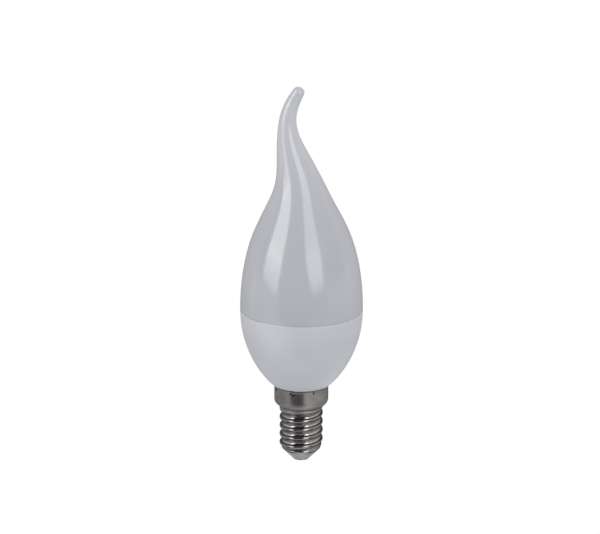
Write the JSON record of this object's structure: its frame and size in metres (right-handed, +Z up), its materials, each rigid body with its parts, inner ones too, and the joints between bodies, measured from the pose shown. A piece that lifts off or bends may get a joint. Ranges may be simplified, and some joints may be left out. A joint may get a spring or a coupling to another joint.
{
  "type": "candle bulb",
  "caption": "Bent-tip candle lamp with an opal flame-shaped cover, a white plastic housing and a threaded metal screw cap that seats it in a lamp holder.",
  "frame": {"origin": "centre of the contact's flat bottom, at the lower end of the screw cap", "axes": "+Z up the lamp's axis from the cap to the tip; the tail of the cover bends in the XZ plane, first towards -X, and its tip hooks back towards +X"},
  "size_m": [0.0386, 0.0386, 0.1217],
  "materials": {
    "opal_cover": "opal moulded plastic, semi-gloss",
    "white_housing": "white moulded plastic, satin",
    "plated_cap": "nickel-plated sheet, rolled",
    "grey_insulator": "light grey moulded insulator",
    "contact_metal": "tinned contact button"
  },
  "bodies": {
    "root": {"diffuser": "opal_cover", "housing": "white_housing", "screw_shell": "plated_cap", "insulator": "grey_insulator", "centre_contact": "contact_metal"}
  },
  "joints": []
}
